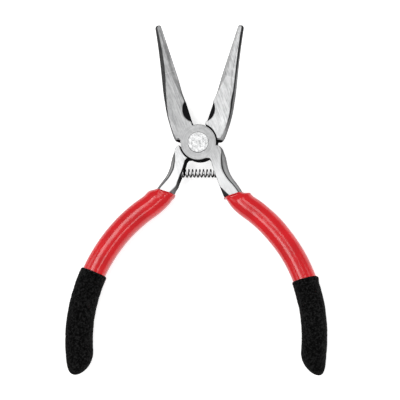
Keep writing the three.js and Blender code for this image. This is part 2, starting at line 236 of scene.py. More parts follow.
def jaw_back(x, y, z):
    return bulging(-x - follow(y, JAW, 2), follow(y, JAW, 4), y, z)


def jaw_inside(x, y, z):
    return bulging(follow(y, JAW, 1) + x, follow(y, JAW, 3), y, z)


def above_shoulder(x, y):
    (at_x, at_y), (normal_x, normal_y) = SHOULDER["at"], SHOULDER["normal"]
    return (x - at_x) * normal_x + (y - at_y) * normal_y


def jaw_plan(x, y, z):
    sides = meet(jaw_back(x, y, z), jaw_inside(x, y, z), EDGE_ROUND)
    ended = meet(sides, y - JAW_END, JAW_END_ROUND)
    squared = meet(ended, -above_shoulder(x, y), SHOULDER["round"])
    return meet(squared, cutter_bevel(x, y, z), CUTTER_ROUND)


def shank_back(x, y, z):
    return bulging(x - follow(y, SHANK, 2), follow(y, SHANK, 5), y, z)


def shank_inside(x, y, z):
    return bulging(follow(y, SHANK, 1) - x, follow(y, SHANK, 4), y, z)


def shank_plan(x, y, z):
    sides = meet(shank_back(x, y, z), shank_inside(x, y, z), EDGE_ROUND)
    ended = meet(sides, y - SHANK_TOP["y"], SHANK_TOP["round"])
    return meet(ended, SHANK_FOOT["y"] - y, SHANK_FOOT["round"])


def tang(x, y, z):
    x, y = x - GRIP_CENTRE[0], y - GRIP_CENTRE[1]
    degrees = np.degrees(np.arctan2(y, x))
    across = np.hypot(x, y) - GRIP_RADIUS - follow(degrees, TANG, 1)
    section = meet(
        np.abs(across) - follow(degrees, TANG, 2), np.abs(z) - follow(degrees, TANG, 3), TANG_ROUND
    )
    from_middle = np.abs(degrees - (TANG[0, 0] + TANG[-1, 0]) / 2) - (TANG[-1, 0] - TANG[0, 0]) / 2
    return meet(section, np.radians(from_middle) * GRIP_RADIUS, TANG_ROUND)


def rivet_hole(x, y, z):
    """Negative in the hole and its countersink."""
    depth = np.maximum(0, z - (HALF - COUNTERSINK["depth"]))
    slope = (COUNTERSINK["radius"] - HOLE_RADIUS) / COUNTERSINK["depth"]
    return (np.hypot(x, y) - HOLE_RADIUS - slope * depth) / np.where(depth > 0, np.hypot(1, slope), 1)


def spring_hole(x, y, z):
    middle = (SPRING_HOLE["from"] + SPRING_HOLE["to"]) / 2
    reach = (SPRING_HOLE["to"] - SPRING_HOLE["from"]) / 2
    round_hole = np.hypot(y - SPRING_HOLE["y"], z) - SPRING_HOLE["radius"]
    return np.maximum(round_hole, np.abs(x - middle) - reach)


def lapped_plan(x, y, z):
    """Jaw and shank with the recess for the other half's disc, and this half's own disc."""
    from_pivot = np.hypot(x, y)
    jaw, shank = jaw_plan(x, y, z), shank_plan(x, y, z)
    own_side = LAP_GAP / 2 - z
    with_disc = join(join(jaw, from_pivot - DISC_RADIUS, DISC_FILLET), shank, DISC_FILLET)
    recess = np.maximum(from_pivot - RECESS_RADIUS, -own_side)
    return np.minimum(np.maximum(with_disc, own_side), np.maximum(np.minimum(jaw, shank), -recess))


def forged_field(x, y, z):
    faces = np.abs(z) - half_thickness(y)
    body = meet(lapped_plan(x, y, z), faces, EDGE_ROUND)
    body = np.maximum(body, -rivet_hole(x, y, z))
    body = np.maximum(body, -spring_hole(x, y, z))
    return np.minimum(body, tang(x, y, z))


# -------- meshes

def surface_net(field, axes):
    """The points and four-sided faces of a field's zero level on a grid."""
    inside = field < 0
    corners = sum(
        inside[i : i - 1 or None, j : j - 1 or None, k : k - 1 or None].astype(np.int8)
        for i, j, k in np.ndindex(2, 2, 2)
    )
    crossed = (corners > 0) & (corners < 8)
    cells = np.argwhere(crossed)
    number = np.full(crossed.shape, -1)
    number[crossed] = np.arange(len(cells))
    total, hits = np.zeros((len(cells), 3)), np.zeros(len(cells))
    for axis in range(3):
        for near, far in np.ndindex(2, 2):
            start = cells.copy()
            start[:, (axis + 1) % 3] += near
            start[:, (axis + 2) % 3] += far
            end = start.copy()
            end[:, axis] += 1
            low, high = field[tuple(start.T)], field[tuple(end.T)]
            crossing = (low < 0) != (high < 0)
            share = np.where(crossing, low / np.where(crossing, low - high, 1), 0)
            first = np.stack([axes[a][start[:, a]] for a in range(3)], axis=1)
            last = np.stack([axes[a][end[:, a]] for a in range(3)], axis=1)
            total += np.where(crossing[:, None], first + share[:, None] * (last - first), 0)
            hits += crossing
    return total / hits[:, None], net_faces(inside, number)


def net_faces(inside, number):
    faces = []
    for axis in range(3):
        low = np.moveaxis(inside, axis, 0)[:-1]
        high = np.moveaxis(inside, axis, 0)[1:]
        edges = np.argwhere(low != high)
        leaving = low[tuple(edges.T)]
        edge = np.zeros_like(edges)
        edge[:, axis] = edges[:, 0]
        rest = [a for a in range(3) if a != axis]
        edge[:, rest[0]], edge[:, rest[1]] = edges[:, 1], edges[:, 2]
        b, c = np.eye(3, dtype=int)[(axis + 1) % 3], np.eye(3, dtype=int)[(axis + 2) % 3]
        around = [edge - b - c, edge - c, edge, edge - b]
        quads = np.stack([number[tuple(corner.T)] for corner in around], axis=1)
        faces.append(np.where(leaving[:, None], quads, quads[:, ::-1]))
    return np.concatenate(faces)


def gradient(field, points, step=0.02):
    """Slopes of a field at points, from its values a step to either side."""
    slopes = []
    for axis in range(3):
        shift = np.zeros(3)
        shift[axis] = step
        ahead, behind = (points + shift).T, (points - shift).T
        slopes.append((field(*ahead) - field(*behind)) / (2 * step))
    return np.stack(slopes, axis=1)


def onto_surface(field, points, rounds=3, longest=0.15, weakest=0.04):
    """Points moved onto the zero level, in steps that no weak slope makes long, with normals."""
    for _ in range(rounds):
        slope = gradient(field, points)
        strength = np.maximum((slope**2).sum(axis=1), weakest)
        move = -slope * (field(*points.T) / strength)[:, None]
        length = np.linalg.norm(move, axis=1, keepdims=True)
        points = points + move * np.minimum(1, longest / np.maximum(length, 1e-9))
    normals = gradient(field, points)
    return points, normals / np.maximum(np.linalg.norm(normals, axis=1, keepdims=True), 1e-9)


def spaced(*stretches):
    """Grid lines over stretches of (start, end, spacing) that follow each other."""
    lines = [np.arange(start, end, spacing) for start, end, spacing in stretches]
    return np.concatenate([*lines, [stretches[-1][1]]])


LATTICE = 61


def lumps(points, size, seed):
    """Smooth random values between -1 and 1 that change over about this size."""
    lattice = np.random.default_rng(seed).uniform(-1, 1, (LATTICE, LATTICE, LATTICE))
    cell = np.floor(points / size).astype(int)
    part = points / size - cell
    part = part * part * (3 - 2 * part)
    total = np.zeros(points.shape[:-1])
    for corner in np.ndindex(2, 2, 2):
        x, y, z = np.moveaxis((cell + corner) % LATTICE, -1, 0)
        total += np.prod(np.where(corner, part, 1 - part), axis=-1) * lattice[x, y, z]
    return total


def relief(points, layers, seed):
    """Lumps on lumps, from layers of (height, size, what is added to the seed)."""
    return sum(height * lumps(points, size, seed + extra) for height, size, extra in layers)


def opened(points):
    """From the closed tool's frame to the open front half, without the lift."""
    x, y, z = points.T
    c, s = math.cos(HALF_OPEN), math.sin(HALF_OPEN)
    return np.stack([x * c - y * s, x * s + y * c, z], axis=1)


def lean(points):
    """Both noses lie a little to the left of their true lines, so they still meet."""
    start = NOSE_LEAN["start"]
    share = np.clip((points[:, 1] - start) / (JAW_END - start), 0, 1)
    return np.outer(share, [-NOSE_LEAN["tip"], 0, 0])


def front_place(points):
    return opened(points) + lean(points)


def rear_place(points):
    """The same half turned over."""
    return opened(points) * np.array([-1, 1, -1]) + lean(points)


def still(points):
    return points


def add_piece(name, points, faces, place=still, normals=None, values=None):
    """A mesh object from millimetres about the middle plane.

    normals gives smooth shading from the exact shape, and values has a number per point for each
    mask that a material reads. own_place keeps the points as they are before the piece is placed.
    """
    mesh = bpy.data.meshes.new(name)
    placed = (place(points) + np.array([0, 0, HALF])) * MM
    mesh.from_pydata(placed.tolist(), [], [list(face) for face in faces])
    mesh.shade_smooth()
    for mask_name, shares in (values or {}).items():
        attribute = mesh.attributes.new(mask_name, "FLOAT", "POINT")
        attribute.data.foreach_set("value", np.asarray(shares, np.float32))
    attribute = mesh.attributes.new("own_place", "FLOAT_VECTOR", "POINT")
    attribute.data.foreach_set("vector", np.asarray(points, np.float32).ravel())
    if normals is not None:
        mesh.normals_split_custom_set_from_vertices(place(normals).tolist())
    piece = bpy.data.objects.new(name, mesh)
    bpy.context.collection.objects.link(piece)
    return piece


# -------- materials

def new_material(name):
    material = bpy.data.materials.new(name)
    material.use_nodes = True
    return material, material.node_tree, material.node_tree.nodes["Principled BSDF"]


def noise(tree, vector, scale, detail=2.0, roughness=0.5):
    node = tree.nodes.new("ShaderNodeTexNoise")
    node.inputs["Scale"].default_value = scale
    node.inputs["Detail"].default_value = detail
    node.inputs["Roughness"].default_value = roughness
    tree.links.new(vector, node.inputs["Vector"])
    return node.outputs["Fac"]


def mask(tree, name, output="Fac"):
    node = tree.nodes.new("ShaderNodeAttribute")
    node.attribute_name = name
    return node.outputs[output]


def maths(tree, operation, first, second=0.0, third=0.0):
    node = tree.nodes.new("ShaderNodeMath")
    node.operation = operation
    for socket, value in zip(node.inputs, (first, second, third)):
        if isinstance(value, (int, float)):
            socket.default_value = value
        else:
            tree.links.new(value, socket)
    return node.outputs[0]


def stretched(tree, vector, degrees, scale):
    node = tree.nodes.new("ShaderNodeMapping")
    node.vector_type = "TEXTURE"
    node.inputs["Rotation"].default_value = (0, 0, math.radians(degrees))
    node.inputs["Scale"].default_value = scale
    tree.links.new(vector, node.inputs["Vector"])
    return node.outputs[0]


def ramp(tree, factor, stops):
    """A colour ramp with stops of (position, colour), where a plain number is a grey."""
    node = tree.nodes.new("ShaderNodeValToRGB")
    elements = node.color_ramp.elements
    while len(elements) < len(stops):
        elements.new(0.5)
    for element, (position, colour) in zip(elements, stops):
        element.position = position
        element.color = (*colour, 1) if isinstance(colour, tuple) else (colour, colour, colour, 1)
    tree.links.new(factor, node.inputs["Fac"])
    return node.outputs["Color"]


def by_rim(tree, facing, grazing):
    """A grey with one value where the surface is seen face on, and another at its rim."""
    turned_away = tree.nodes.new("ShaderNodeLayerWeight").outputs["Facing"]
    return ramp(tree, turned_away, [(0.45, facing), (0.95, grazing)])


def mixed(tree, factor, first, second):
    node = tree.nodes.new("ShaderNodeMix")
    node.data_type = "RGBA"
    for socket, value in zip((node.inputs[0], node.inputs[6], node.inputs[7]), (factor, first, second)):
        if isinstance(value, tuple):
            socket.default_value = (*value, 1)
        elif isinstance(value, (int, float)):
            socket.default_value = value
        else:
            tree.links.new(value, socket)
    return node.outputs[2]


def bump(tree, shader, height, strength, distance):
    node = tree.nodes.new("ShaderNodeBump")
    node.inputs["Strength"].default_value = strength
    node.inputs["Distance"].default_value = distance
    tree.links.new(height, node.inputs["Height"])
    tree.links.new(node.outputs["Normal"], shader.inputs["Normal"])


BLACK_OXIDE = (0.012, 0.012, 0.013)
# Painted highlight: the light grey that the shanks turn towards, further down towards the handles.
SHANK_HIGHLIGHT = (0.8, 0.805, 0.81)
# How the noise is stretched over the grain and along it
GRIND_STRETCH = (0.4, 6.0, 1.0)
SPOT_STRETCH = (0.5, 1.1, 1.0)
# How much each kind of noise counts in how light the steel is
MARKS_WEIGHT, CLOUDS_WEIGHT, SPOTS_WEIGHT = 0.68, 0.2, 0.12


def steel_material(name, bright, dull, grain_degrees, line_at):
    """Ground faces, with black oxide left on the walls between them.

    edge is negative on the faces and positive past their edges, and wall says how far the oxide
    is ground away there, with painted light and painted shade in it. A faint lighter line is drawn
    across the face at line_at.
    """
    material, tree, shader = new_material(name)
    place = mask(tree, "own_place", "Vector")
    marks, clouds, spots = grinding(tree, place, grain_degrees)
    light = maths(tree, "MULTIPLY", clouds, CLOUDS_WEIGHT)
    light = maths(tree, "MULTIPLY_ADD", marks, MARKS_WEIGHT, light)
    light = maths(tree, "MULTIPLY_ADD", spots, SPOTS_WEIGHT, light)
    ground = ramp(tree, light, [(0.36, dull), (0.64, bright)])
    ground = with_line_and_highlight(tree, place, ground, line_at)
    share = bareness_and_rim_shade(tree, clouds, spots)
    tree.links.new(mixed(tree, share, BLACK_OXIDE, ground), shader.inputs["Base Color"])
    tree.links.new(share, shader.inputs["Metallic"])
    tree.links.new(maths(tree, "MULTIPLY_ADD", marks, 0.24, 0.34), shader.inputs["Roughness"])
    shader.inputs["Specular IOR Level"].default_value = 0.0
    bump(tree, shader, marks, 0.2, 0.00003)
    return material


def with_line_and_highlight(tree, place, ground, line_at):
    """Adds a faint lighter line at line_at, and a painted highlight that brightens the shanks further
    down.
    """
    line_wobble = noise(tree, place, 1.2, 1.0)
    along = tree.nodes.new("ShaderNodeSeparateXYZ")
    tree.links.new(place, along.inputs["Vector"])
    off_line = maths(tree, "ABSOLUTE", maths(tree, "SUBTRACT", along.outputs["Y"], line_at))
    off_line = maths(tree, "MULTIPLY_ADD", line_wobble, 0.25, off_line)
    line = ramp(tree, off_line, [(0.16, 0.28), (0.34, 0)])
    ground = mixed(tree, line, ground, (0.8, 0.8, 0.8))
    # Painted highlight: the shank faces get lighter further down, towards the handles.
    down_shank = maths(tree, "MULTIPLY", along.outputs["Y"], -0.05)
    highlight_share = ramp(tree, down_shank, [(0.2, 0), (0.7, 1)])
    return mixed(tree, maths(tree, "MULTIPLY", highlight_share, 0.55), ground, SHANK_HIGHLIGHT)


def bareness_and_rim_shade(tree, clouds, spots):
    """How bare the steel is: fully on the ground faces, and as far as wall says past them, cut down
    towards the rim as painted shade.
    """
    rough_edge = maths(tree, "MULTIPLY", maths(tree, "SUBTRACT", spots, 0.5), 0.05)
    edge = maths(tree, "ADD", mask(tree, "edge"), rough_edge)
    faced = ramp(tree, edge, [(0.03, 1), (0.1, 0)])
    patchy = maths(tree, "MULTIPLY_ADD", maths(tree, "SUBTRACT", clouds, 0.5), 0.5, 1.0)
    wall = maths(tree, "MULTIPLY", mask(tree, "wall"), patchy)
    share = mixed(tree, faced, wall, (1.0, 1.0, 1.0))
    # Painted shade: the steel turns to dark oxide towards the rim, where it turns away.
    return maths(tree, "MULTIPLY", share, by_rim(tree, 1, 0.12))


def grinding(tree, place, grain_degrees):
    """Noise for the grinding marks, which are rings on the disc, for clouding and for spots."""
    flat = tree.nodes.new("ShaderNodeVectorMath")
    flat.operation = "MULTIPLY"
    flat.inputs[1].default_value = (1, 1, 0)
    tree.links.new(place, flat.inputs[0])
    from_pivot = tree.nodes.new("ShaderNodeVectorMath")
    from_pivot.operation = "LENGTH"
    tree.links.new(flat.outputs["Vector"], from_pivot.inputs[0])
    rings = tree.nodes.new("ShaderNodeCombineXYZ")
    tree.links.new(from_pivot.outputs["Value"], rings.inputs["X"])
    grind = noise(tree, stretched(tree, place, grain_degrees, GRIND_STRETCH), 1.0, 3.0, 0.7)
    turning = noise(tree, rings.outputs["Vector"], 3.6, 3.0, 0.6)
    marks = mixed(tree, mask(tree, "turned"), grind, turning)
    clouds = noise(tree, place, 0.42, 3.0, 0.55)
    spots = noise(tree, stretched(tree, place, grain_degrees, SPOT_STRETCH), 1.0, 2.0, 0.5)
    return marks, clouds, spots


def rivet_material():
    material, tree, shader = new_material("rivet_steel")
    place = mask(tree, "own_place", "Vector")
    spots = noise(tree, place, 1.1, 3.0, 0.6)
    colour = ramp(tree, spots, [(0.36, (0.36, 0.362, 0.364)), (0.56, (0.62, 0.623, 0.626))])
    tree.links.new(colour, shader.inputs["Base Color"])
    shader.inputs["Metallic"].default_value = 1.0
    tree.links.new(maths(tree, "MULTIPLY_ADD", spots, 0.25, 0.3), shader.inputs["Roughness"])
    bump(tree, shader, noise(tree, place, 3.0, 3.0, 0.6), 0.3, 0.00005)
    return material


def spring_material():
    material, tree, shader = new_material("spring_steel")
    place = mask(tree, "own_place", "Vector")
    drawn = noise(tree, place, 2.2, 3.0, 0.6)
    # Painted light: the wire is painted bright where it faces outwards at the coil's front and back,
    # and near black elsewhere as painted shade.
    painted_light = maths(tree, "MULTIPLY_ADD", drawn, 0.2, mask(tree, "painted_light"))
    colour = ramp(tree, painted_light, [(0.4, 0.008), (0.85, (0.62, 0.62, 0.63))])
    tree.links.new(colour, shader.inputs["Base Color"])
    shader.inputs["Metallic"].default_value = 1.0
    tree.links.new(maths(tree, "MULTIPLY_ADD", drawn, 0.2, 0.16), shader.inputs["Roughness"])
    return material


def vinyl_material():
    material, tree, shader = new_material("red_vinyl")
    place = mask(tree, "own_place", "Vector")
    clouds = noise(tree, place, 0.16, 3.0, 0.5)
    colour = ramp(tree, clouds, [(0.3, (0.57, 0.003, 0.007)), (0.7, (0.7, 0.004, 0.01))])
    # Painted shade: the red is darkened towards the rim, where the surface turns away.
    colour = mixed(tree, by_rim(tree, 0, 0.75), colour, (0.2, 0.0, 0.002))
    tree.links.new(colour, shader.inputs["Base Color"])
    fine = noise(tree, place, 1.4, 2.0, 0.5)
    tree.links.new(maths(tree, "MULTIPLY_ADD", fine, 0.1, 0.12), shader.inputs["Roughness"])
    shader.inputs["IOR"].default_value = 1.52
    shader.inputs["Subsurface Weight"].default_value = 0.08
    shader.inputs["Subsurface Radius"].default_value = (0.001, 0.0003, 0.0003)
    shader.inputs["Subsurface Scale"].default_value = 0.6
    bump(tree, shader, noise(tree, place, 0.9, 3.0, 0.55), 0.06, 0.0001)
    return material


def foam_material():
    material, tree, shader = new_material("black_foam")
    place = mask(tree, "own_place", "Vector")
    pores = noise(tree, place, 2.6, 3.0, 0.65)
    patches = noise(tree, place, 1.3, 2.0, 0.6)
    shown = maths(tree, "MULTIPLY_ADD", pores, 0.4, maths(tree, "MULTIPLY", patches, 0.6))
    colour = ramp(tree, shown, [(0.46, 0.0003), (0.62, 0.0145)])
    tree.links.new(colour, shader.inputs["Base Color"])
    shader.inputs["Roughness"].default_value = 0.92
    shader.inputs["Specular IOR Level"].default_value = 0.06
    bump(tree, shader, pores, 0.8, 0.00025)
    return material


def floor_material():
    material, _, shader = new_material("floor_paper")
    shader.inputs["Base Color"].default_value = (0.92, 0.92, 0.915, 1)
    shader.inputs["Roughness"].default_value = 0.75
    shader.inputs["Specular IOR Level"].default_value = 0.1
    shader.inputs["Emission Color"].default_value = (1, 1, 1, 1)
    shader.inputs["Emission Strength"].default_value = 0.6
    return material


# -------- forged halves

# Grid lines for the forging on each axis, far apart only along the tang, which the handle covers
FORGED_GRID = (
    ((-8.1, 9.6, 0.17), (9.6, 23.4, 0.6)),
    ((-82.6, -23.2, 0.6), (-23.2, 43.0, 0.2)),
    ((-4.08, 4.08, 0.17),),
)

# Heights where the finish of a half, and the light and shade painted on it, change
JAW_FOOT = 2.4
SHOULDER_TOP = 5.4
ROOT_ENDS = (5.0, 11.5)
INSIDE_BRIGHTENS = (13.6, 18.0)
NOSE_STARTS = (15.0, 21.0)
SHANK_HEAD = -3.2
BELOW_DISC = -5.5
SHANK_INSIDE_BRIGHTENS = (-12.5, -17.5)
NOSE_SOFTENING = 0.75  # how much more gradual the face's inner edge gets on the nose
FURTHEST_PAST = 0.6  # the edge mask goes no further from an edge


def smooth_share(value, start, end):
    """From 0 at start to 1 at end, with no kink at either."""
    t = np.clip((value - start) / (end - start), 0, 1)
    return t * t * (3 - 2 * t)


def forged_mesh():
    axes = [spaced(*stretches) for stretches in FORGED_GRID]
    field = forged_field(*np.meshgrid(*axes, indexing="ij", sparse=True))
    points, faces = surface_net(field, axes)
    points, normals = onto_surface(forged_field, points)
    return points, faces, normals


def jaw_sides(points, normals):
    """Which points look outwards on the jaw, and which of its points don't."""
    on_jaw = points[:, 1] > JAW_FOOT
    outwards = normals[:, 0] < 0
    return on_jaw & outwards, on_jaw & ~outwards


def past_edge(points, normals, backs):
    """Negative on the ground faces, and positive past their edges."""
    x, y, z = points.T
    on_back, on_inside = jaw_sides(points, normals)
    sides = np.maximum(lapped_plan(x, y, z), -rivet_hole(x, y, z))
    sides = np.maximum(sides, -spring_hole(x, y, z))
    past = sides - (np.abs(z) - half_thickness(y))
    on_nose = smooth_share(y, *NOSE_STARTS)
    inset = follow(y, JAW, 2) + x
    past_border = np.minimum(past, backs["border"] - inset)
    past_back = past * (1 - on_nose) + past_border * on_nose
    past = np.where(on_back, past_back, past)
    past = np.where(on_inside, past * (1 - NOSE_SOFTENING * on_nose), past)
    off_disc = np.hypot(x, y) > RECESS_RADIUS
    by_shoulder = np.maximum(past, SHOULDER["oxide"] - above_shoulder(x, y))
    past = np.where(off_disc & (y > 0), by_shoulder, past)
    # Painted shade: a thin dark line along the shank's inner edge on the face.
    by_shank_inside = np.maximum(past, shank_inside(x, y, z) + SHANK_EDGE_SHADE)
    past = np.where(off_disc & (y < BELOW_DISC), by_shank_inside, past)
    return np.clip(past, -FURTHEST_PAST, FURTHEST_PAST)


def jaw_back_oxide_and_shade(y, depth, backs):
    """A dark strip below the face, which gives way to a brighter back, and to the jaw's root.
    The tones of the strip and the back are painted shade and painted light, set per half in backs.
    """
    strip_end = follow(y, backs["strip"], 1)
    stripped = smooth_share(depth, strip_end, strip_end + 0.35)
    strip = backs["dark"] + (backs["jaw"] - backs["dark"]) * stripped
    return backs["root"] + (strip - backs["root"]) * smooth_share(y, *ROOT_ENDS)


def on_cutter(x, y, z):
    along = np.abs(y - CUTTER["middle"]) < CUTTER["reach"]
    return along & (np.abs(cutter_bevel(x, y, z)) < 0.05) & (np.abs(z) > CUTTER["land"])


def wall_oxide_and_shade(points, normals, backs):
    """How far the oxide is ground away past the edges, from 0 to 1, with painted light and
    painted shade through the tones in backs, which differ between the halves.
    """
    x, y, z = points.T
    on_back, on_inside = jaw_sides(points, normals)
    depth = half_thickness(y) - np.abs(z)
    wall = np.where(on_back, jaw_back_oxide_and_shade(y, depth, backs), 0.0)
    wall = np.where(on_inside, 0.4 + 0.45 * smooth_share(y, *INSIDE_BRIGHTENS), wall)
    on_shank = y < SHANK_HEAD
    on_shank_back = on_shank & (normals[:, 0] > 0.3) & (np.abs(shank_back(x, y, z)) < 0.25)
    wall = np.where(on_shank_back, backs["shank"] * smooth_share(depth, 0.25, 0.7), wall)
    in_shank = on_shank & (normals[:, 0] < -0.3)
    wall = np.where(in_shank, backs["inside"] * smooth_share(y, *SHANK_INSIDE_BRIGHTENS), wall)
    under_jaw = (y < SHOULDER_TOP) & (normals[:, 1] < -0.6)
    in_joint = np.hypot(x, y) < RECESS_RADIUS + 0.2
    return np.where(under_jaw | in_joint | on_cutter(x, y, z), 0.0, wall)


def turned_share(points):
    """Where the grinding marks are the rings of the disc, and not straight ones."""
    from_pivot = np.hypot(points[:, 0], points[:, 1])
    return 1 - smooth_share(from_pivot, DISC_RADIUS - 0.3, DISC_RADIUS + 0.5)


# -------- tubes along the grip

ROUND_POINTS = 96
ROUND_ANGLES = np.linspace(0, 2 * math.pi, ROUND_POINTS, endpoint=False)


def polar_section(half_width, half, power=2.4):
    """Radius of a rounded section at each angle round it."""
    wide = np.abs(np.cos(ROUND_ANGLES)) / np.asarray(half_width)[..., None]
    high = np.abs(np.sin(ROUND_ANGLES)) / np.asarray(half)[..., None]
    return (wide**power + high**power) ** (-1 / power)


def tip_curve(share):
    """Points of the short curve from the end of the arc to the grip's tip."""
    start = arc_point(GRIP_BEND_END)
    share = np.asarray(share)[..., None]
    ends = start * (1 - share) ** 2 + GRIP_TIP * share**2
    return ends + GRIP_TIP_CONTROL * 2 * share * (1 - share)


def arc_point(angle):
    angle = np.asarray(angle)
    return GRIP_CENTRE + GRIP_RADIUS * np.stack([np.cos(angle), np.sin(angle)], axis=-1)


ARC_LENGTH = GRIP_RADIUS * (GRIP_START - GRIP_BEND_END)
TIP_CURVE = tip_curve(np.linspace(0, 1, 60))
TIP_STEPS = np.concatenate([[0], np.cumsum(np.linalg.norm(np.diff(TIP_CURVE, axis=0), axis=1))])
GRIP_LENGTH = ARC_LENGTH + TIP_STEPS[-1]


def grip_at(distance):
    """Centre and section angle at distances along the grip from its upper end."""
    distance = np.asarray(distance, float)
    angle = GRIP_START - distance / GRIP_RADIUS
    beyond = distance - ARC_LENGTH
    share = np.clip(beyond / TIP_STEPS[-1], 0, 1)
    curve = np.stack([np.interp(beyond, TIP_STEPS, TIP_CURVE[:, a]) for a in range(2)], axis=-1)
    tip_angle = GRIP_BEND_END + share * (GRIP_TIP_ANGLE - GRIP_BEND_END)
    centre = np.where(beyond[..., None] > 0, curve, arc_point(angle))
    return centre, np.where(beyond > 0, tip_angle, angle)


def tube_points(centres, section_angles, radii):
    """Points of rings that stand across the handle, one row per ring."""
    along = radii * np.cos(ROUND_ANGLES)
    x = centres[:, :1] + along * np.cos(section_angles)[:, None]
    y = centres[:, 1:] + along * np.sin(section_angles)[:, None]
    return np.stack([x, y, radii * np.sin(ROUND_ANGLES)], axis=-1)


def closed_tube(rings):
    """Faces over rings, with a fan to a point at each end."""
    rows, count = rings.shape[:2]
    points = np.concatenate([rings.reshape(-1, 3), rings[[0, -1]].mean(axis=1)])
    first = np.arange(count)
    following = (first + 1) % count
    faces = []
    for row in range(rows - 1):
        low, high = row * count, (row + 1) * count
        faces += np.stack([low + first, low + following, high + following, high + first], 1).tolist()
    last = (rows - 1) * count
    start_point, end_point = rows * count, rows * count + 1
    faces += [[start_point, int(b), int(a)] for a, b in zip(first, following)]
    faces += [[end_point, int(last + a), int(last + b)] for a, b in zip(first, following)]
    return points, faces


def radius_round_steel(centres, section_angles, furthest=6.0, halvings=22):
    """How far the steel reaches from each centre at each angle, plus a gap that the sleeve needs."""
    low = np.zeros((len(centres), ROUND_POINTS))
    high = np.full_like(low, furthest)
    for _ in range(halvings):
        middle = (low + high) / 2
        points = tube_points(centres, section_angles, middle)
        outside = forged_field(points[..., 0], points[..., 1], points[..., 2]) > FIT_GAP
        high = np.where(outside, middle, high)
        low = np.where(outside, low, middle)
    return (low + high) / 2


# Half width and half thickness of a sleeve, above the foam and under it
SLEEVE_SIZE = (3.95, 4.2)
UNDER_FOAM_SIZE = (3.25, 3.45)
# Where a sleeve steps in after the foam has begun, and how much sooner the foam's bore does
STEP_UNDER_FOAM = (1.0, 2.3)
FOAM_STEP_LEAD = 0.2
SLEEVE_SHORT = 1.4
SLEEVE_CAP = 7.4
SLEEVE_WAVES = ((1.0, 6.5, 0), (0.3, 2.6, 1))
WAVES_SETTLE = (8.0, 22.0)
MOUTH_MIDDLE = -19.6
MOUTH_ROOM = 0.35
MOUTH_HALF = 3.75
MOUTH_THICKNESS = 0.42
MOUTH_THICKENS = (0.2, 3.4)
MOUTH_ROUND = 0.3
FIT_GAP = 0.04
BORE_TIP_RADIUS = 0.4
# Bend between the mouth and the grip: centre, section angle, half width, half thickness
BEND = [(6.35, -20.45, 6, 4.1, 4.0), (7.4, -22.25, 17, 4.05, 4.15)]
BEND_DRIFT = 0.25
BEND_END = 4.0
FOAM_SIZE = (4.5, 4.8)
FOAM_CAP = 8.8
FOAM_LIP_ROUND = 0.55
FOAM_GAP = 0.1
FOAM_POWER = 2.2
FOAM_PORES = ((0.05, 0.55, 0), (0.05, 1.3, 2), (0.09, 4.0, 3))
SLANT_FADES = 6.0
# Height of the sleeve's mouth, its waves there and further on, where on the arc the foam starts,
# how far aslant the foam's mouth is, and how much thicker it gets on its outer side, and how soon
LEFT_COVER = {
    "mouth": -19.0,
    "waves": (0.06, 0.025),
    "foam_start": 6.0,
    "slant": 0.15,
    "swell": (0.3, 20),
    "seed": 5,
}
RIGHT_COVER = {
    "mouth": -20.3,
    "waves": (0.12, 0.04),
    "foam_start": 3.2,
    "slant": 0.45,
    "swell": (-0.42, 2),
    "seed": 8,
}


def grip_distance(degrees):
    return GRIP_RADIUS * (GRIP_START - math.radians(degrees))


def sleeve_path(mouth):
    """Table of distance, centre, section angle, half width and half thickness from the mouth on."""
    rise = mouth - MOUTH_MIDDLE
    inner, outer = (float(follow(mouth, SHANK, column)) for column in (1, 2))
    rows = [[(inner + outer) / 2, mouth, 0.0, (outer - inner) / 2 + MOUTH_ROOM, MOUTH_HALF]]
    for number, (x, y, degrees, half_width, half) in enumerate(BEND):
        shift = rise if number == 0 else 0
        rows.append([x - BEND_DRIFT * shift, y + shift, math.radians(degrees), half_width, half])
    (start_x, start_y), angle = grip_at(0.0)
    rows.append([start_x, start_y, float(angle), *SLEEVE_SIZE])
    rows = np.array(rows)
    steps = np.linalg.norm(np.diff(rows[:, :2], axis=0), axis=1)
    distances = np.concatenate([[0], np.cumsum(steps)]) - steps.sum()
    return np.column_stack([distances, rows])


def sleeve_line(distance, path):
    """Centre, section angle and size of a sleeve at distances along the handle."""
    on_grip, grip_angle = grip_at(np.maximum(distance, 0))
    ahead = np.array([BEND_END, 2 * BEND_END])
    more = np.column_stack([ahead, *grip_at(ahead), np.tile(SLEEVE_SIZE, (2, 1))])
    table = np.vstack([path, more])
    columns = [follow(distance, table, column) for column in range(1, 6)]
    bent = distance < BEND_END
    centre = np.where(bent[:, None], np.stack(columns[:2], axis=1), on_grip)
    return centre, np.where(bent, columns[2], grip_angle), columns[3], columns[4]


def rounded_end(end, cap, steps):
    """Distances and shares of the size down to a rounded end."""
    turn = np.linspace(0, math.pi / 2, steps)[:-1]
    return end - cap + cap * np.sin(turn), np.cos(turn)


def stepped_in(sizes, under):
    """Half width and half thickness of a sleeve, less the step that it has under the foam."""
    return [size + under * (UNDER_FOAM_SIZE[i] - SLEEVE_SIZE[i]) for i, size in enumerate(sizes)]


def sleeve_outside(distance, shrink, path, foam_distance):
    centre, angle, *sizes = sleeve_line(distance, path)
    under = smooth_share(distance, *(foam_distance + step for step in STEP_UNDER_FOAM))
    return centre, angle, polar_section(*(size * shrink for size in stepped_in(sizes, under)))


def sleeve_rings(cover):
    path = sleeve_path(cover["mouth"])
    start = path[0, 0]
    return np.concatenate([bore_rings(start, path), mouth_rings(start, path), skin_rings(cover, path)])


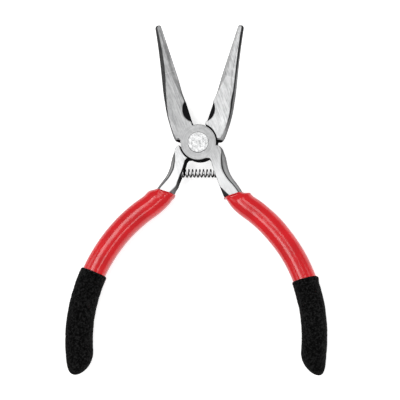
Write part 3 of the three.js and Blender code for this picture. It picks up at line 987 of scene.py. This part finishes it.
def skin_rings(cover, path):
    """The outside of the sleeve, close round the steel at its mouth and thinner under the foam."""
    start = path[0, 0]
    end = GRIP_LENGTH - SLEEVE_SHORT
    foam_distance = grip_distance(cover["foam_start"])
    cap_distance, cap_shrink = rounded_end(end, SLEEVE_CAP, 14)
    body = np.arange(start + MOUTH_ROUND, end - SLEEVE_CAP, 0.45)
    distance = np.concatenate([body, cap_distance])
    shrink = np.concatenate([np.ones(len(body)), cap_shrink])
    centre, angle, radii = sleeve_outside(distance, shrink, path, foam_distance)
    thickened = smooth_share(distance, *(start + step for step in MOUTH_THICKENS))[:, None] ** 0.7
    hugging = radius_round_steel(centre, angle) + MOUTH_THICKNESS
    radii = hugging + (np.maximum(radii, hugging) - hugging) * thickened
    wave = sleeve_wave(cover, distance, tube_points(centre, angle, radii))
    clear = thickened[:, 0] * (1 - smooth_share(distance, foam_distance - 0.4, foam_distance + 0.6))
    return tube_points(centre, angle, radii + wave * clear[:, None])


def sleeve_wave(cover, distance, points):
    """How uneven the dipped vinyl is, which is more by its mouth."""
    by_mouth, further_on = cover["waves"]
    near_mouth = 1 - smooth_share(distance, *WAVES_SETTLE)
    height = further_on + near_mouth * (by_mouth - further_on)
    return relief(points, SLEEVE_WAVES, cover["seed"]) * height[:, None]


def bore_rings(start, path):
    """The inside of the sleeve, from a point past the tang's end up to the mouth."""
    tang_end = grip_distance(TANG[0, 0])
    line = np.arange(tang_end - 0.6, start + MOUTH_ROUND, -1.2)
    distance = np.concatenate([[tang_end + 0.3], line])
    centre, angle, _, _ = sleeve_line(distance, path)
    radii = radius_round_steel(centre, angle)
    radii[0] = BORE_TIP_RADIUS
    return tube_points(centre, angle, radii)


def mouth_rings(start, path):
    """The rounded rim, from the bore to the skin."""
    turns = np.linspace(0, math.pi, 9)[:, None]
    distance = np.full(len(turns), start)
    centre, angle, _, _ = sleeve_line(distance, path)
    steel = radius_round_steel(centre, angle)
    radii = steel + MOUTH_THICKNESS * (1 - np.cos(turns)) / 2
    rings = tube_points(centre, angle, radii)
    onward = np.array([math.sin(angle[0]), -math.cos(angle[0]), 0])
    return rings + onward * (MOUTH_ROUND - MOUTH_ROUND * np.sin(turns)[..., None])


def foam_rings(cover):
    start = grip_distance(cover["foam_start"])
    inside, inside_distance = foam_bore(start)
    outside, outside_distance = foam_outside(start, cover["swell"], cover["seed"])
    rings = np.concatenate([inside, outside])
    distance = np.concatenate([inside_distance, outside_distance])
    _, angle = grip_at(distance)
    onward = np.stack([np.sin(angle), -np.cos(angle), 0 * angle], axis=1)
    by_mouth = 1 - smooth_share(distance, start, start + SLANT_FADES)
    slant = cover["slant"] * by_mouth[:, None] * np.cos(ROUND_ANGLES)
    return rings + onward[:, None] * slant[..., None]


def foam_bore(start):
    """The inside of the cover, from its closed end up to its mouth."""
    end = GRIP_LENGTH - SLEEVE_SHORT + 0.12
    cap, cap_shrink = rounded_end(end, SLEEVE_CAP, 12)
    line = np.arange(start + 0.3, end - SLEEVE_CAP, 1.0)
    distance = np.concatenate([line, cap])[::-1]
    shrink = np.concatenate([np.ones(len(line)), cap_shrink])[::-1]
    return foam_section(distance, shrink, start), distance


def foam_outside(start, swell, seed):
    """The flat end face, its rounded lip, the long side and the rounded end.

    The foam is uneven, and swell says how much thicker it is on the outer side of the handle,
    and over what length it gets so.
    """
    turns = np.linspace(0, math.pi / 2, 7)[1:]
    lip = start + FOAM_LIP_ROUND * (1 - np.cos(turns))
    lip_sizes = 1 - FOAM_LIP_ROUND * (1 - np.sin(turns)) / FOAM_SIZE[0]
    line = np.arange(start + FOAM_LIP_ROUND + 0.3, GRIP_LENGTH - FOAM_CAP, 0.3)
    cap, cap_shrink = rounded_end(GRIP_LENGTH, FOAM_CAP, 26)
    distance = np.concatenate([[start, start], lip, line, cap])
    face_sizes = [0.8, 1 - FOAM_LIP_ROUND / FOAM_SIZE[0]]
    sizes = np.concatenate([face_sizes, lip_sizes, np.ones(len(line)), cap_shrink])
    centre, angle = grip_at(distance)
    radii = polar_section(FOAM_SIZE[0] * sizes, FOAM_SIZE[1] * sizes, FOAM_POWER)
    thicker, over = swell
    swelling = thicker * sizes * smooth_share(distance, start + 0.3, start + 0.3 + over)
    radii = radii + swelling[:, None] * np.maximum(0, np.cos(ROUND_ANGLES)) ** 2
    outer = tube_points(centre, angle, radii)
    pores = relief(outer, FOAM_PORES, seed) * sizes[:, None]
    return tube_points(centre, angle, radii + pores), distance


def foam_section(distance, shrink, start):
    """The bore of a foam cover, which the sleeve under it fills."""
    centre, angle = grip_at(distance)
    under = smooth_share(distance, *(start + step - FOAM_STEP_LEAD for step in STEP_UNDER_FOAM))
    sizes = [size * shrink + FOAM_GAP for size in stepped_in(SLEEVE_SIZE, under)]
    return tube_points(centre, angle, polar_section(*sizes))


# -------- rivet and spring

RIVET_RADIUS = 2.2
RIVET_HEAD = {"radius": 3.51, "flat": 3.3, "rim": [3.37, 3.43, 3.47, 3.5], "depth": 1.3}
RIM_WIDTH = 0.2
RIM_DROP = 0.12
RIM_DEPTH = 0.2
# Height and size of the hammered lumps, and their seeds
PEENING = ((0.07, 0.95, 21), (0.05, 0.5, 22))


def rivet_piece():
    angles = np.linspace(0, 2 * math.pi, 120, endpoint=False)
    flat = RIVET_HEAD["flat"]
    head_radii = np.concatenate([np.linspace(0.12, flat, 28), RIVET_HEAD["rim"]])
    sunk = np.where(head_radii > flat, RIM_DROP * ((head_radii - flat) / RIM_WIDTH) ** 2, 0)
    neck = (RIVET_RADIUS, HALF - RIVET_HEAD["depth"])
    upper = [*zip(head_radii, HALF - sunk), (RIVET_HEAD["radius"], HALF - RIM_DEPTH), neck]
    radii, heights = np.array([(radius, -height) for radius, height in upper] + upper[::-1]).T
    x, y = radii[:, None] * np.cos(angles), radii[:, None] * np.sin(angles)
    rings = np.stack([x, y, np.broadcast_to(heights[:, None], x.shape)], axis=-1)
    side_of = np.sign(rings[..., 2])
    peened = sum(height * np.abs(lumps(rings, size, seed)) for height, size, seed in PEENING)
    on_head = np.abs(heights) > HALF - RIM_DEPTH
    rings[..., 2] -= side_of * np.where(on_head[:, None], peened, 0)
    return closed_tube(rings)


# The spring, in the open tool. reach is how far it goes to each side, and wire is its wire's radius.
SPRING = {"y": -10.1, "reach": 6.3, "radius": 1.225, "wire": 0.26, "pitch": 1.22, "closed_pitch": 0.5}
SPRING_CLOSED = 0.7  # length of the tight turns at each end
COIL_STEPS = 420
WIRE_POINTS = 18


def spring_piece():
    """The coil, and a mask of painted light: how far its wire faces outwards at the front and the back.
    """
    closed_turns = SPRING_CLOSED / SPRING["closed_pitch"]
    open_turns = 2 * (SPRING["reach"] - SPRING["wire"] - SPRING_CLOSED) / SPRING["pitch"]
    turns = np.linspace(0, open_turns + 2 * closed_turns, COIL_STEPS)
    spread_turns = np.clip(turns - closed_turns, 0, open_turns)
    tight_turns = turns - spread_turns
    advance = spread_turns * SPRING["pitch"] + tight_turns * SPRING["closed_pitch"]
    angle = turns * 2 * math.pi
    outward = np.stack([0 * angle, np.cos(angle), np.sin(angle)], axis=1)
    line = outward * SPRING["radius"]
    line[:, 0] = advance + SPRING["wire"] - SPRING["reach"]
    line[:, 1] += SPRING["y"]
    direction = np.gradient(line, axis=0)
    direction /= np.linalg.norm(direction, axis=1, keepdims=True)
    sideways = np.cross(direction, outward)
    around = np.linspace(0, 2 * math.pi, WIRE_POINTS, endpoint=False)[None, :, None]
    spread = outward[:, None] * np.cos(around) + sideways[:, None] * np.sin(around)
    # A painted highlight where the wire faces outwards at the front and back of each turn, and painted
    # shade on its sides and inner faces.
    painted_light = np.sin(angle)[:, None] ** 2 * np.cos(around[:, ::-1, 0])
    points, faces = closed_tube(line[:, None] + SPRING["wire"] * spread[:, ::-1])
    return points, faces, {"painted_light": np.append(painted_light, [0, 0])}


# -------- assembly

def finish_piece(piece, material, body, node):
    piece.data.materials.append(material)
    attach(piece, body)
    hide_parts(node)


# A dark strip runs beside the face along each jaw's back. border is how far from the outline it
# starts on the nose, and strip how deep below the face it ends. The rest say how bare the steel
# is: in that strip, at the jaw's root, on its back, on the shank's back and on its lower inside.
# The front half's jaw back and shank inside face left, and the rear half's face right, and the two
# tables differ as painted shade and painted light on these sides.
FRONT_BACKS = {
    "border": 1.6,
    "strip": np.array([[10.0, 2.4], [20.0, 2.6], [33.0, 2.2], [42.0, 1.2]]),
    "dark": 0.12,
    "root": 0.8,
    "jaw": 0.24,
    "shank": 0.54,
    "inside": 0.04,
}
REAR_BACKS = {
    "border": 0.85,
    "strip": np.array([[10.0, 1.0], [20.0, 1.1], [33.0, 0.9], [42.0, 0.5]]),
    "dark": 0.03,
    "root": 0.7,
    "jaw": 0.42,
    "shank": 0.5,
    "inside": 0.3,
}
# Both halves are the same steel; the rear half's faces are painted lighter than the front half's, as
# painted light.
FRONT_GROUND = {"bright": (0.50, 0.502, 0.504), "dull": (0.22, 0.222, 0.224), "grain_degrees": 4}
REAR_GROUND = {"bright": (0.70, 0.703, 0.706), "dull": (0.34, 0.343, 0.346), "grain_degrees": -38}


def add_forged_halves():
    points, faces, normals = forged_mesh()
    for side, place, backs, ground, line_at in (
        ("front", front_place, FRONT_BACKS, FRONT_GROUND, 25.7),
        ("rear", rear_place, REAR_BACKS, REAR_GROUND, 24.2),
    ):
        values = {
            "edge": past_edge(points, normals, backs),
            "wall": wall_oxide_and_shade(points, normals, backs),
            "turned": turned_share(points),
        }
        piece = add_piece(f"{side}_forging", points, faces, place, normals, values)
        material = steel_material(f"{side}_ground_steel", **ground, line_at=line_at)
        finish_piece(piece, material, f"{side}_half", f"{side}_plier_half")


def add_covers():
    vinyl, foam = vinyl_material(), foam_material()
    for side, cover, place, body in (
        ("left", LEFT_COVER, rear_place, "rear_half"),
        ("right", RIGHT_COVER, front_place, "front_half"),
    ):
        sleeve = add_piece(f"{side}_vinyl_sleeve", *closed_tube(sleeve_rings(cover)), place)
        finish_piece(sleeve, vinyl, body, f"{side}_handle_sleeve")
        grip = add_piece(f"{side}_foam_cover", *closed_tube(foam_rings(cover)), place)
        finish_piece(grip, foam, body, f"{side}_foam_grip")


def add_rivet_and_spring():
    rivet = add_piece("peened_rivet", *rivet_piece())
    finish_piece(rivet, rivet_material(), "rear_half", "pivot_rivet")
    points, faces, painted_light = spring_piece()
    spring = add_piece("coil_spring", points, faces, values=painted_light)
    spring.data.materials.append(spring_material())
    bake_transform(spring)
    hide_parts("return_spring")


FLOOR_REACH = 3.0  # metres


def add_floor():
    far, level = FLOOR_REACH, CAD_BOX[0][2]
    mesh = bpy.data.meshes.new("floor")
    corners = [(-far, -far, level), (far, -far, level), (far, far, level), (-far, far, level)]
    mesh.from_pydata(corners, [], [(0, 1, 2, 3)])
    floor = bpy.data.objects.new("floor", mesh)
    bpy.context.collection.objects.link(floor)
    floor.data.materials.append(floor_material())


LIGHT_TARGET = (0, -0.03, 0)


def add_light(name, location, size, power):
    light = bpy.data.lights.new(name, "AREA")
    light.shape = "RECTANGLE"
    light.size, light.size_y = size
    light.energy = power
    lamp = bpy.data.objects.new(name, light)
    lamp.location = location
    aim = Vector(LIGHT_TARGET) - Vector(location)
    lamp.rotation_euler = aim.to_track_quat("-Z", "Y").to_euler()
    bpy.context.collection.objects.link(lamp)


def add_lights():
    world = bpy.data.worlds.new("studio")
    world.use_nodes = True
    background = world.node_tree.nodes["Background"]
    background.inputs["Color"].default_value = (1, 1, 1, 1)
    background.inputs["Strength"].default_value = 0.42
    bpy.context.scene.world = world
    add_light("left_softbox", (-0.34, 0.06, 1.1), (0.62, 0.3), 3.0)
    add_light("right_softbox", (0.31, -0.34, 1.1), (0.45, 0.22), 1.2)
    add_light("far_softbox", (0.06, 0.33, 1.1), (0.2, 0.35), 0.8)
    add_light("left_fill", (-1.0, 0.1, 0.6), (0.8, 0.8), 3.6)
    add_light("right_fill", (1.0, 0.1, 0.6), (0.8, 0.8), 3.6)


add_forged_halves()
add_covers()
add_rivet_and_spring()
add_floor()
add_lights()
bpy.context.scene.view_settings.view_transform = "Standard"
